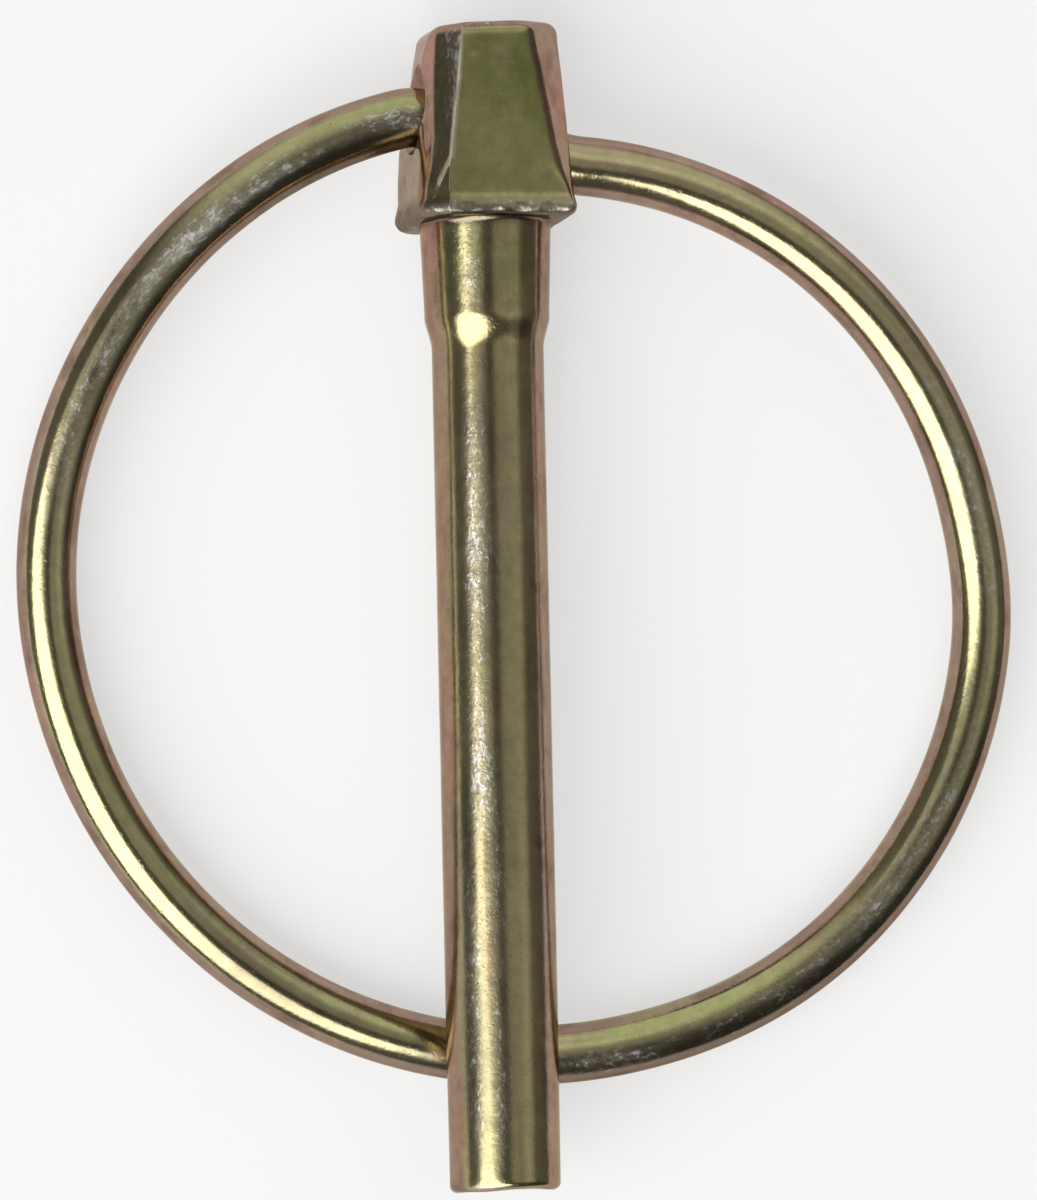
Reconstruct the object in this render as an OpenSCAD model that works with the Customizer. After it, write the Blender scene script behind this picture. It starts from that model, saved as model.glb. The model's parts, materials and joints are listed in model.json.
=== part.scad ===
// Linch pin: a forged steel pin with a square tapered head, and the spring-wire
// ring that turns in the head and closes behind the shank.
// The pin is drawn upright, head up and front towards -Y, then laid on its back
// the way it comes to rest, with the ring under the shank.

/* [Shank] */
// Diameter of the shank
shank_d = 4.5; // [4.2:0.1:4.8]
// Length from the underside of the head to the tip
shank_l = 38.9; // [38:0.1:44]
// Diameter of the neck, close under the head
neck_d = 5.3; // [5.1:0.1:5.5]
// Length of the neck
neck_l = 4.0; // [3:0.1:5]
// How much thinner the neck is at its lower end
neck_taper = 0.3; // [0.1:0.05:0.4]
// How much wider the root of the neck is, where it runs into the head
root_flare = 0.2; // [0.1:0.05:0.3]
// Length of the step from the neck down to the shank
shoulder_l = 1.1; // [0.8:0.1:1.6]
// Length of the tip that is drawn down a little for entry
lead_l = 7.9; // [6:0.1:8]
// How much thinner the tip is at its end
lead_taper = 0.06; // [0.04:0.01:0.2]
// Radius of the tip's rounded edge
tip_edge_r = 0.3; // [0.1:0.05:0.5]
// Slant of the sheared end, in degrees
shear_slant = 1.5; // [0:0.5:3]

/* [Head] */
// Height of the head
head_h = 7.9; // [7.4:0.1:8.4]
// Side of the square at the foot of the head
foot_w = 6.0; // [5.8:0.1:6.4]
// Width of the head at its top
top_w = 4.8; // [4.4:0.1:5.2]
// Depth of the head at its top, front to back
top_depth = 5.6; // [5.2:0.1:5.8]
// How far the top stands to the right of the foot
top_shift = 0.3; // [0:0.05:0.4]
// Leg of the corner chamfers at the foot
foot_chamfer = 0.78; // [0.6:0.02:0.9]
// Leg of the corner chamfers at the top
top_chamfer = 1.04; // [0.9:0.02:1.2]
// Radius of the head's edges
edge_r = 0.3; // [0.2:0.05:0.35]
// Height of the slight bevel round the top
brow_h = 0.9; // [0.8:0.05:1.1]
// How far that bevel leans in
brow_in = 0.2; // [0.1:0.05:0.3]
// Radius of the round lip that runs round the foot
lip_r = 0.4; // [0.35:0.01:0.5]
// How far the lip stands out from the faces
lip_out = 0.08; // [0.04:0.01:0.12]

/* [Ring] */
// Diameter of the spring wire
wire_d = 2.4; // [2.2:0.1:2.5]
// Height at which the ring's bore crosses the pin's axis
bore_h = 3.4; // [3.2:0.1:3.6]
// Slant of the bore across the head, high on the left, in degrees
bore_slant = 17.25; // [16:0.25:18]
// Play between the wire and its bore, on the radius
bore_play = 0.1; // [0.06:0.01:0.14]
// Radius of the ring's left arc, on the wire's centre line
left_r = 18.65; // [18.5:0.05:18.8]
// Radius of the arc that closes the ring behind the shank
bottom_r = 19.75; // [19.6:0.05:19.9]
// Radius of the ring's right arc
right_r = 17.95; // [17.85:0.05:18.1]
// Centre of the left arc, along the bore from the pin's axis
left_u = 6.0; // [5.9:0.05:6.1]
// Centre of the left arc, square to the bore
left_w = 16.35; // [16.2:0.05:16.5]
// Direction from that centre to the end of the left arc, in degrees
left_join = 158; // [150:1:166]
// Direction from the bottom arc's centre to its right end, in degrees
right_join = 55; // [50:1:60]
// Radius of the tight crank beside the bore's left mouth
left_crank_r = 2.0; // [1.8:0.1:2.2]
// Radius of the easy crank beside the bore's right mouth
right_crank_r = 6.0; // [5:0.5:7]
// Gap between the wire's two ends inside the head
end_gap = 1.4; // [0.8:0.1:2]
// Gap between the closed ring and the shank
ring_gap = 0.04; // [0.03:0.01:0.1]

/* [Rest] */
// Roll of the lying pin towards its right side, in degrees
lie_roll = 1.35; // [0:0.05:3]

/* [Hidden] */
$fn = 96;
shank_r = shank_d / 2;
wire_r = wire_d / 2;
bore_r = wire_r + bore_play;
weld_out = 0.006;
lead_end_r = shank_r - lead_taper / 2;

// A mouth of the bore flares out where the crank of the wire begins.
flare_len = 1.6;
flare_slope = 0.7;
left_flare = -2.3;
right_flare = 2.75;

// The ring lies in one plane. There u runs along the bore to the right and w runs
// square to it, towards the tip. Each arc meets the next one tangentially.
function dir(a) = [cos(a), sin(a)];
left_c = [left_u, left_w];
bottom_c = left_c + (left_r - bottom_r) * dir(left_join);
right_c = bottom_c + (bottom_r - right_r) * dir(right_join);

// The left crank turns the same way as the ring, and the right crank against it.
left_crank_c = [
    left_c.x - sqrt((left_r - left_crank_r) ^ 2 - (left_c.y - left_crank_r) ^ 2), left_crank_r];
right_crank_c = [
    right_c.x - sqrt((right_r + right_crank_r) ^ 2 - (right_c.y + right_crank_r) ^ 2), -right_crank_r];
left_start = 360 + atan2(left_crank_c.y - left_c.y, left_crank_c.x - left_c.x);
right_end = atan2(right_crank_c.y - right_c.y, right_crank_c.x - right_c.x);

// Where the closed ring passes behind the pin's axis, and the lean this gives it.
slant_k = tan(bore_slant);
cross_b = slant_k * bottom_c.x + bottom_c.y;
cross_c = bottom_c * bottom_c - bottom_r ^ 2;
cross_w = (cross_b + sqrt(cross_b ^ 2 - (slant_k ^ 2 + 1) * cross_c)) / (slant_k ^ 2 + 1);
ring_lean = asin((shank_r + wire_r + ring_gap) / cross_w);

// Directions of u and w in the upright pin.
u_dir = [cos(bore_slant), 0, -sin(bore_slant)];
w_dir = [-cos(ring_lean) * sin(bore_slant), sin(ring_lean), -cos(ring_lean) * cos(bore_slant)];
function on_ring(p) = [0, 0, bore_h] + p.x * u_dir + p.y * w_dir;
// Furthest reach along d of an arc's wire, from the arc's centre and radius.
function arc_reach(c, r, d) = on_ring(c) * d + r * norm([u_dir * d, w_dir * d]) + wire_r;

// Lying, the pin touches with the back of its head, at the right, and with the ring.
// These are the directions down, along the table and across it, in the upright pin.
function down(t) = [sin(lie_roll), cos(lie_roll) * cos(t), cos(lie_roll) * sin(t)];
function along(t) = [0, -sin(t), cos(t)];
function across(t) = [cos(lie_roll), -sin(lie_roll) * cos(t), -sin(lie_roll) * sin(t)];

// Centre of a round corner of radius r, at the back of an eight-sided section: half
// width, half depth and the leg of its chamfers.
function corner(w, d, leg, r) = [w - leg - (sqrt(2) - 1) * r, d - r];
function corners(w, d, leg, r) = let (a = corner(w, d, leg, r), b = corner(d, w, leg, r))
    [for (sx = [-1, 1], sy = [-1, 1], p = [a, [b.y, b.x]]) [sx * p.x, sy * p.y]];
lip_w = foot_w / 2 + lip_out;

// The head bears on the table with its lip or with its brow, whichever is lower.
lip_corner = corner(lip_w, lip_w, foot_chamfer, lip_r);
brow_corner = corner(top_w / 2, top_depth / 2, top_chamfer, edge_r);
function head_reach(t) = max(
    [lip_corner.x, lip_corner.y, lip_r] * down(t) + lip_r,
    [brow_corner.x + top_shift, brow_corner.y, head_h - brow_h] * down(t) + edge_r);

// The tilt at which the head and the ring touch the table together is found by
// halving an interval.
function tilt_gap(t) = arc_reach(bottom_c, bottom_r, down(t)) - head_reach(t);
function find_tilt(lo, hi, n) = let (mid = (lo + hi) / 2)
    n == 0 ? mid : tilt_gap(mid) > 0 ? find_tilt(mid, hi, n - 1) : find_tilt(lo, mid, n - 1);
lie_tilt = find_tilt(0, 8, 30);

// The origin is under the middle of the lying part.
reach_left = arc_reach(left_c, left_r, -across(lie_tilt));
reach_right = arc_reach(right_c, right_r, across(lie_tilt));
top_front = [0, -(top_depth / 2 - brow_in - edge_r), head_h - edge_r];
reach_head = max([for (side = [-1, 1])
    [0, side * top_front.y, top_front.z] * along(lie_tilt)]) + edge_r;
tip_low = [0, lead_end_r - tip_edge_r, tip_edge_r - shank_l];
reach_tip = -(tip_low * along(lie_tilt)) + tip_edge_r;
shift = [(reach_left - reach_right) / 2, (reach_tip - reach_head) / 2,
    head_reach(lie_tilt)];

// Lays an upright shape down in the place where it rests.
module laid() {
    translate(shift) rotate([-90 - lie_tilt, lie_roll, 0]) children();
}

// One level of the head: small balls at the corners of its section.
module level(w, d, leg, h, right = 0, r = edge_r) {
    for (p = corners(w, d, leg, r)) translate([p.x + right, p.y, h]) sphere(r, $fn = 24);
}

module head() {
    // the tapered body, with a slight bevel round its top
    hull() {
        level(foot_w / 2, foot_w / 2, foot_chamfer, lip_r);
        level(top_w / 2, top_depth / 2, top_chamfer, head_h - brow_h, top_shift);
        level(top_w / 2 - brow_in, top_depth / 2 - brow_in, top_chamfer, head_h - edge_r,
            top_shift);
    }
    // the lip that the forging die leaves round the foot
    hull() level(lip_w, lip_w, foot_chamfer, lip_r, r = lip_r);
}

// Bore along the u direction, with a flared mouth at each side of the head.
module bore() {
    rotate([0, 90, 0]) cylinder(r = bore_r, h = 2 * foot_w, center = true);
    for (start = [left_flare, right_flare])
        translate([start, 0, 0]) rotate([0, 90 * sign(start), 0])
            cylinder(r1 = bore_r, r2 = bore_r + flare_slope * flare_len, h = flare_len);
}

// Neck, shoulder, shank and tip, turned about the pin's axis.
module shank() {
    neck_r = neck_d / 2;
    rotate_extrude() {
        polygon([
            [0, edge_r], [neck_r + root_flare, edge_r], [neck_r, -edge_r],
            [neck_r - neck_taper / 2, -neck_l],
            [shank_r, -neck_l - shoulder_l], [shank_r, lead_l - shank_l],
            [lead_end_r, tip_edge_r - shank_l], [0, tip_edge_r - shank_l]]);
        translate([0, -shank_l]) square([lead_end_r - tip_edge_r, 2 * tip_edge_r]);
        translate([lead_end_r - tip_edge_r, tip_edge_r - shank_l]) circle(tip_edge_r);
    }
}

// The pin is one forging: head, neck and shank.
module pin() {
    color("darkkhaki") laid() difference() {
        union() {
            head();
            shank();
        }
        translate([0, 0, bore_h]) rotate([0, bore_slant, 0]) bore();
        // the sheared end, longest on the left
        translate([-shank_r, 0, -shank_l]) rotate([0, -shear_slant, 0])
            translate([0, -shank_d, -shank_d]) cube([3 * shank_d, 2 * shank_d, shank_d]);
    }
}

// A ball that is a hair thicker than the wire welds one stretch of it to the next.
module weld() {
    sphere(wire_r + weld_out, $fn = 32);
}

// A stretch of the wire, bent to a radius about c, from its weld at one direction
// round to another.
module bend(c, r, from, to) {
    translate([c.x, c.y, 0]) rotate([0, 0, from]) {
        rotate_extrude(angle = to - from) translate([r, 0]) circle(wire_r, $fn = 32);
        translate([r, 0, 0]) weld();
    }
}

// A straight end of the wire, lying in the bore.
module stub(from, to) {
    translate([from, 0, 0]) rotate([0, 90, 0]) cylinder(r = wire_r, h = to - from, $fn = 32);
}

// The ring is one length of wire, with both ends cranked into the bore.
module ring() {
    color("tan") laid() translate([0, 0, bore_h])
        rotate([ring_lean - 90, bore_slant, 0]) {
            stub(left_crank_c.x, -end_gap / 2);
            bend(left_crank_c, left_crank_r, 270, left_start);
            bend(left_c, left_r, left_start, left_join);
            bend(bottom_c, bottom_r, left_join, right_join);
            bend(right_c, right_r, right_join, right_end);
            bend(right_crank_c, right_crank_r, right_end + 180, 90);
            translate([right_crank_c.x, 0, 0]) rotate([0, 0, 90]) weld();
            stub(end_gap / 2, right_crank_c.x);
        }
}

pin();
ring();
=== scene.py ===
# %% [markdown]
# # A linch pin and its ring
# A linch pin is a short forged steel pin with a square head. A ring of spring
# wire turns in a hole through the head and closes behind the shank, so that the
# pin cannot fall out. Both pieces are zinc plated and then yellow passivated,
# which gives a thin film with olive, gold and rose tints.
# This lesson loads the measured solids, dresses them with two finer meshes, and
# gives both the same kind of plating, worn in different places.

# %% Load the measured part
import json
import math

import bmesh
import bpy
import numpy as np
from mathutils import Matrix, Vector, noise


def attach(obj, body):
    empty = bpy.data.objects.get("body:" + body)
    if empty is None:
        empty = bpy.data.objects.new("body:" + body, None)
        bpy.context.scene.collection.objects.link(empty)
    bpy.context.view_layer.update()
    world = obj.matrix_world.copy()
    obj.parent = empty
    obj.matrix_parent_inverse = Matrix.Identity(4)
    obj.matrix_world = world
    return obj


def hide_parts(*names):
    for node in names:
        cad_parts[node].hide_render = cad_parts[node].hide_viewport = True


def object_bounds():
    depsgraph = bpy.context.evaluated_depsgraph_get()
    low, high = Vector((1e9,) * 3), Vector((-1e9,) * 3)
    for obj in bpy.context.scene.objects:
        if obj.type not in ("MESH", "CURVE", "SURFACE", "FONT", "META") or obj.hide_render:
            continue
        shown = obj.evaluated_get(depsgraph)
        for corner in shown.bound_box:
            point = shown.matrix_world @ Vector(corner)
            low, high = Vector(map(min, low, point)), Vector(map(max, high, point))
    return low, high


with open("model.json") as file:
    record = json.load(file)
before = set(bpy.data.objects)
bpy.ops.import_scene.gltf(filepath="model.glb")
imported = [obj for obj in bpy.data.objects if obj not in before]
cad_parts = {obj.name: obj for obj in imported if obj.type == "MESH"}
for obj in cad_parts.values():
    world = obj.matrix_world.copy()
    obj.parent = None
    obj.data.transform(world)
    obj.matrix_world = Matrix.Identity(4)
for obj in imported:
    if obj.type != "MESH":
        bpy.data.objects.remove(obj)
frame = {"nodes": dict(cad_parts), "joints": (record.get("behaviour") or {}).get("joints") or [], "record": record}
cad_low, cad_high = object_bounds()
MM = 0.001
print("the solids are", [round(side / MM, 2) for side in cad_high - cad_low], "mm")

# %% [markdown]
# ## Where the pin lies
# The record knows the axis of the shank and the axis on which the ring turns.
# From these two come the pin's own right, its way up towards the head, and its
# front. Heights count from the underside of the head, where a machinist starts.

# %% The pin's own directions
BORE_HEIGHT = 3.4

shank_axis = Vector(frame["record"]["mounts"][0]["axis"]).normalized()
hinge = frame["joints"][0]
hinge_axis = Vector(hinge["axis"]).normalized()
head_way = -shank_axis
right_way = (hinge_axis - hinge_axis.dot(head_way) * head_way).normalized()
front_way = right_way.cross(head_way)
under_head = Vector(hinge["pos_m"]) - BORE_HEIGHT * MM * head_way
PIN_WAYS = np.array([right_way, head_way, front_way])


def laid(points):
    """Points measured on the upright pin, in mm, laid in place, in metres."""
    return np.asarray(points) @ PIN_WAYS * MM + np.array(under_head)


bore_slant = math.asin(-hinge_axis.dot(head_way))
print("the bore slants", round(math.degrees(bore_slant), 2), "degrees")

# %% [markdown]
# ## The camera
# A long lens from about a third of a metre keeps the ring almost a true circle.
# It looks down from a little to the left, so the left side of the head shows. It
# comes first, because every later choice is judged through it.

# %% Which way the camera looks
CAMERA_LEAN = math.radians(10.818)
CAMERA_NOD = math.radians(0.492)
CAMERA_ROLL = math.radians(-0.675)

sight = Vector((
    math.sin(CAMERA_LEAN) * math.cos(CAMERA_NOD),
    math.sin(CAMERA_NOD),
    -math.cos(CAMERA_LEAN) * math.cos(CAMERA_NOD)))
level_up = (Vector((0, 1, 0)) - sight.y * sight).normalized()
level_right = sight.cross(level_up)
camera_right = math.cos(CAMERA_ROLL) * level_right + math.sin(CAMERA_ROLL) * level_up
camera_up = camera_right.cross(sight)
print("the camera looks along", [round(part, 3) for part in sight])

# %% Set up the camera
LENS = 277.0
SENSOR = 36.0
CAMERA_DISTANCE = 320.0
NEAREST_SEEN = 0.01
# how far from the middle of the part the camera aims, in mm
AIM_SHIFT = Vector((-0.35, 0.24, 0.56))

middle = (cad_low + cad_high) / 2
aim = middle + AIM_SHIFT * MM
camera_data = bpy.data.cameras.new("camera")
camera_data.sensor_fit = "HORIZONTAL"
camera_data.sensor_width = SENSOR
camera_data.lens = LENS
camera_data.clip_start = NEAREST_SEEN
camera = bpy.data.objects.new("camera", camera_data)
bpy.context.scene.collection.objects.link(camera)
turn = Matrix((camera_right, camera_up, -sight)).transposed().to_4x4()
camera.matrix_world = Matrix.Translation(aim - sight * CAMERA_DISTANCE * MM) @ turn
bpy.context.scene.camera = camera
print("the camera is", round(CAMERA_DISTANCE), "mm from the part")

# %% [markdown]
# ## Helpers for light and finish
# Each finish is a small tree of shader nodes. The first helpers make a node and
# join it to the others, so that a finish reads like a recipe. The last one names
# a direction in the room by its leans to the right and towards the head, as one
# would point at a lamp.

# %% One node, one object and one direction
NO_LEAN = 1e-6


def node(tree, kind, inputs=None, **settings):
    """A node with its settings, its numbers set and its links made."""
    made = tree.nodes.new("ShaderNode" + kind)
    for name, value in settings.items():
        setattr(made, name, value)
    for socket, value in (inputs or {}).items():
        if isinstance(value, bpy.types.NodeSocket):
            tree.links.new(value, made.inputs[socket])
        else:
            made.inputs[socket].default_value = value
    return made


def empty_tree(owner):
    """The node tree of a material or a world, with nothing in it yet."""
    owner.use_nodes = True
    owner.node_tree.nodes.clear()
    return owner.node_tree


def tree_of(*values):
    """The tree that the first socket among some values belongs to."""
    return next(value.id_data for value in values if isinstance(value, bpy.types.NodeSocket))


def ramp(value, low, high, to_low=0.0, to_high=1.0, kind="LINEAR"):
    """A value spread between two ends, and held there."""
    return node(tree_of(value), "MapRange", {
        "Value": value, "From Min": low, "From Max": high,
        "To Min": to_low, "To Max": to_high}, interpolation_type=kind).outputs[0]


def reckon(operation, one, two):
    """Two values added, multiplied or compared."""
    return node(tree_of(one, two), "Math", {0: one, 1: two}, operation=operation).outputs[0]


def in_scene(name, data):
    """A new object, put into the scene."""
    made = bpy.data.objects.new(name, data)
    bpy.context.scene.collection.objects.link(made)
    return made


def way(lean_right, lean_up):
    """A direction in the room, from two leans off the vertical, in degrees."""
    lean = math.hypot(lean_right, lean_up)
    flat = math.sin(math.radians(lean)) / max(lean, NO_LEAN)
    return Vector((lean_right * flat, lean_up * flat, math.cos(math.radians(lean))))


print("a lamp straight above is along", list(way(0, 0)))

# %% [markdown]
# ## The softbox and its flag
# Plated metal mirrors the room. One large round softbox stands to the lower left,
# and its reflection is the long pale streak down the shank and round the ring. A
# whole lamp would make that streak too wide, so a dark cloth, which studios call a
# flag, cuts off one side. Its thinner end lets some light through, so the cut is
# soft.

# %% The softbox
SOFTBOX_WAY = way(-31, -27)
SOFTBOX_DISTANCE = 1.2
SOFTBOX_SPREAD = math.radians(36.5)
SOFTBOX_RADIANCE = 3.3

softbox_data = bpy.data.lights.new("softbox", "AREA")
softbox_data.shape = "DISK"
softbox_data.size = 2 * SOFTBOX_DISTANCE * math.tan(SOFTBOX_SPREAD)
softbox_area = math.pi * (softbox_data.size / 2) ** 2
softbox_data.energy = SOFTBOX_RADIANCE * math.pi * softbox_area
softbox = in_scene("softbox", softbox_data)
softbox.location = middle + SOFTBOX_WAY * SOFTBOX_DISTANCE
softbox.rotation_euler = SOFTBOX_WAY.to_track_quat("Z", "Y").to_euler()
softbox.visible_camera = False
print("the softbox is", round(softbox_data.size, 2), "m across")

# %% The shape of the flag
FLAG_DISTANCE = 1.1
# its corners, each by its two leans off the vertical, in degrees
FLAG_CORNERS = [(-50, 9), (-24, -5), (-13, -13), (-9, -24), (4, -33), (14, -36),
                (15, -18), (-30, 34)]

flag_mesh = bpy.data.meshes.new("flag")
flag_mesh.from_pydata(
    [middle + way(*corner) * FLAG_DISTANCE for corner in FLAG_CORNERS], [],
    [range(len(FLAG_CORNERS))])
flag = in_scene("flag", flag_mesh)
flag.visible_camera = False
print("the flag has", len(FLAG_CORNERS), "corners")

# %% The cloth of the flag
FLAG_LEVEL = 0.1
FLAG_THIN_LEVEL = 0.6
FLAG_THIN_FROM = -0.12
FLAG_THIN_TO = -0.5

flag_cloth = bpy.data.materials.new("flag_cloth")
tree = empty_tree(flag_cloth)
place = node(tree, "TexCoord").outputs["Object"]
sideways = node(tree, "SeparateXYZ", {"Vector": place}).outputs["X"]
thin = ramp(sideways, FLAG_THIN_FROM, FLAG_THIN_TO, FLAG_LEVEL, FLAG_THIN_LEVEL, "SMOOTHSTEP")
cloth = node(tree, "Emission", {"Strength": thin})
node(tree, "OutputMaterial", {"Surface": cloth.outputs[0]})
flag_mesh.materials.append(flag_cloth)
print("the cloth lets through from", FLAG_LEVEL, "to", FLAG_THIN_LEVEL)

# %% [markdown]
# ## The dim room
# Beside the streak the metal mirrors the rest of the studio: a paler ceiling
# beyond the head, a grey wall to the right and a dark corner to the lower right.
# They turn into the olive and brown bands along the shank. A picture of a real
# room would do too, but a few soft patches are easier to move until it fits.

# %% The room and its patches
ROOM_LEVEL = 0.16
ROOM_COLOUR = (1.0, 0.98, 0.95, 1)
# the way to each patch, its reach in degrees, the softness of its edge, its level
ROOM_PATCHES = [
    (way(6, 62), 38, 26, 0.6),
    (way(27, 12), 26, 16, 0.24),
    (way(46, -52), 34, 20, -0.1),
    (way(42, -12), 11, 16, 0.2),
    (way(-8, 3), 11, 9, -0.08),
]

room = bpy.data.worlds.new("room")
bpy.context.scene.world = room
tree = empty_tree(room)
looking = node(tree, "TexCoord").outputs["Generated"]
level = ROOM_LEVEL
for patch_way, reach, softness, strength in ROOM_PATCHES:
    facing = node(tree, "VectorMath", {0: looking, 1: patch_way},
                  operation="DOT_PRODUCT").outputs["Value"]
    outer = math.cos(math.radians(reach + softness / 2))
    inner = math.cos(math.radians(reach - softness / 2))
    patch = ramp(facing, outer, inner, 0.0, strength, "SMOOTHSTEP")
    level = reckon("ADD", level, patch)
background = node(tree, "Background", {"Color": ROOM_COLOUR, "Strength": level})
node(tree, "OutputWorld", {"Surface": background.outputs[0]})
print("the room has", len(ROOM_PATCHES), "soft patches")

# %% [markdown]
# ## The pale floor
# The part lies on white paper. Enough light to turn the paper white would burn
# out the metal, so the paper is grey with a little glow of its own, which only
# the eye and the reflections see. It lights nothing, and the shadow stays.

# %% The sheet of paper
FLOOR_HALF = 3.0

floor_mesh = bpy.data.meshes.new("floor")
floor_mesh.from_pydata(
    [(x * FLOOR_HALF, y * FLOOR_HALF, cad_low.z) for x, y in ((-1, -1), (1, -1), (1, 1), (-1, 1))],
    [], [(0, 1, 2, 3)])
floor = in_scene("floor", floor_mesh)
print("the paper is", 2 * FLOOR_HALF, "m wide")

# %% The finish of the paper
FLOOR_COLOUR = (0.4, 0.4, 0.4, 1)
FLOOR_LIFT = 0.55
FLOOR_FAR_LIFT = 0.12
FLOOR_NEAR = 0.045
FLOOR_FAR = 0.2

floor_paper = bpy.data.materials.new("floor_paper")
tree = empty_tree(floor_paper)
paper = node(tree, "BsdfDiffuse", {"Color": FLOOR_COLOUR})
rays = node(tree, "LightPath").outputs
seen = rays["Is Camera Ray"]
for ray in ("Is Glossy Ray", "Is Transmission Ray"):
    seen = reckon("MAXIMUM", seen, rays[ray])
spot = node(tree, "TexCoord").outputs["Object"]
distance = node(tree, "VectorMath", {0: spot}, operation="LENGTH").outputs["Value"]
near = ramp(distance, FLOOR_NEAR, FLOOR_FAR, FLOOR_LIFT, FLOOR_FAR_LIFT, "SMOOTHSTEP")
glow = node(tree, "Emission", {"Strength": reckon("MULTIPLY", seen, near)})
both = node(tree, "AddShader", {0: paper.outputs[0], 1: glow.outputs[0]})
node(tree, "OutputMaterial", {"Surface": both.outputs[0]})
floor_mesh.materials.append(floor_paper)
bpy.context.scene.view_settings.view_transform = "Standard"
print("the paper glows by", FLOOR_LIFT, "near the part and by", FLOOR_FAR_LIFT, "far off")

# %% [markdown]
# ## Skins from sections
# Both pieces are long, so both are made as a skin over many cross-sections. Each
# section is a closed row with as many points as the next, and the skin joins them,
# as planks join the ribs of a boat. That gives full control of every radius, which
# subdivision would only guess.

# %% A skin over sections
def skin(name, sections):
    """A closed mesh through sections of equal length, in mm, ends closed."""
    sections = np.asarray(sections)
    count, around = sections.shape[:2]
    points = sections.reshape(-1, 3)
    ends = [sections[0].mean(0), sections[-1].mean(0)]
    points = np.vstack([points, ends])
    faces = []
    for i in range(count - 1):
        a, b = i * around, (i + 1) * around
        faces += [(a + j, a + (j + 1) % around, b + (j + 1) % around, b + j)
                  for j in range(around)]
    first, last, top = count * around, count * around + 1, (count - 1) * around
    faces += [(first, (j + 1) % around, j) for j in range(around)]
    faces += [(last, top + j, top + (j + 1) % around) for j in range(around)]
    mesh = bpy.data.meshes.new(name)
    mesh.from_pydata(points.tolist(), [], faces)
    mesh.validate()
    mesh.update()
    return in_scene(name, mesh)


# %% Two soft curves
def smooth(x, start=0, length=1):
    """0 up to the start, 1 once past the length, and an easy curve between."""
    share = np.clip((x - start) / length, 0, 1)
    return share * share * (3 - 2 * share)


def bump(x, centre, reach):
    """1 at the centre, falling easily to 0 at the reach."""
    return smooth(1 - np.abs(np.asarray(x) - centre) / reach)


print("half way to its reach a bump is", float(bump(0.5, 0, 1)))

# %% [markdown]
# ## The forged pin
# The head is a square with its four upright corners cut away, and it narrows
# towards the top. The dies have left it uneven: the right front cut runs out at
# the foot and grows wide at the top, and the back left one grows too. A section
# of it is eight flats joined by eight arcs. The shank's sections are circles with
# as many points, so one skin runs from the tip to the top of the head, as one
# forging does.

# %% One eight-sided section
ARC_STEPS = 6
FACE_STEPS = 22
CUT_STEPS = 15
# the most of a flat that the arc at one of its ends may use up
ARC_SHARE = 0.48


def eight_sided(left, right, depth, cuts, radii):
    """A rectangle with cut and rounded corners; cuts from front right to back right."""
    front_right, front_left, back_left, back_right = cuts
    corners = np.array([
        (right, depth - front_right), (right - front_right, depth),
        (left + front_left, depth), (left, depth - front_left),
        (left, back_left - depth), (left + back_left, -depth),
        (right - back_right, -depth), (right, back_right - depth)])
    arcs = []
    for i in range(8):
        before = corners[i - 1] - corners[i]
        after = corners[(i + 1) % 8] - corners[i]
        lengths = np.linalg.norm(before), np.linalg.norm(after)
        before, after = before / lengths[0], after / lengths[1]
        half_turn = (math.pi - math.acos(np.clip(before @ after, -1, 1))) / 2
        reach = min(radii[i] * math.tan(half_turn), ARC_SHARE * min(lengths))
        radius = reach / math.tan(half_turn)
        inward = (before + after) / np.linalg.norm(before + after)
        centre = corners[i] + inward * radius / math.cos(half_turn)
        middle_angle = math.atan2(-inward[1], -inward[0])
        angles = middle_angle + np.linspace(-half_turn, half_turn, ARC_STEPS)
        arcs.append(centre + radius * np.stack([np.cos(angles), np.sin(angles)], -1))
    closed = []
    for i, arc in enumerate(arcs):
        steps = CUT_STEPS if i % 2 == 0 else FACE_STEPS
        after = arcs[(i + 1) % 8][0]
        closed.append(arc)
        closed.append(arc[-1] + np.outer(np.arange(1, steps) / steps, after - arc[-1]))
    return np.vstack(closed)


# %% A circle with as many points
FOOT_HALF = 3.0
FOOT_CUT = 0.78
FOOT_EDGE = 0.4

foot = eight_sided(-FOOT_HALF, FOOT_HALF, FOOT_HALF, (FOOT_CUT,) * 4, (FOOT_EDGE,) * 8)
round_angles = np.arctan2(foot[:, 1], foot[:, 0])


def at_height(outline, height):
    """An outline, right and front, lifted to a height on the upright pin."""
    return np.stack([outline[:, 0], np.full(len(outline), height), outline[:, 1]], -1)


def round_section(radius, height):
    """A circle with a point in each direction that the head has one."""
    outline = radius * np.stack([np.cos(round_angles), np.sin(round_angles)], -1)
    return at_height(outline, height)


print("a section has", len(foot), "points")

# %% The radius of the turned part
SHANK_LENGTH = 38.9
SHANK_RADIUS = 2.25
TIP_RADIUS = 2.22
LEAD_LENGTH = 7.9
NECK_LENGTH = 4.0
NECK_RADIUS = 2.65
NECK_LOW_RADIUS = 2.5
LONGEST_NECK = 1.2
SHOULDER_LENGTH = 1.25
SHOULDER_EARLY = 0.12
SWELL = 0.012
SWELL_EARLY = 0.1
SWELL_REACH = 0.4
ROOT_FLARE = 0.07
ROOT_REACH = 0.2


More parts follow.
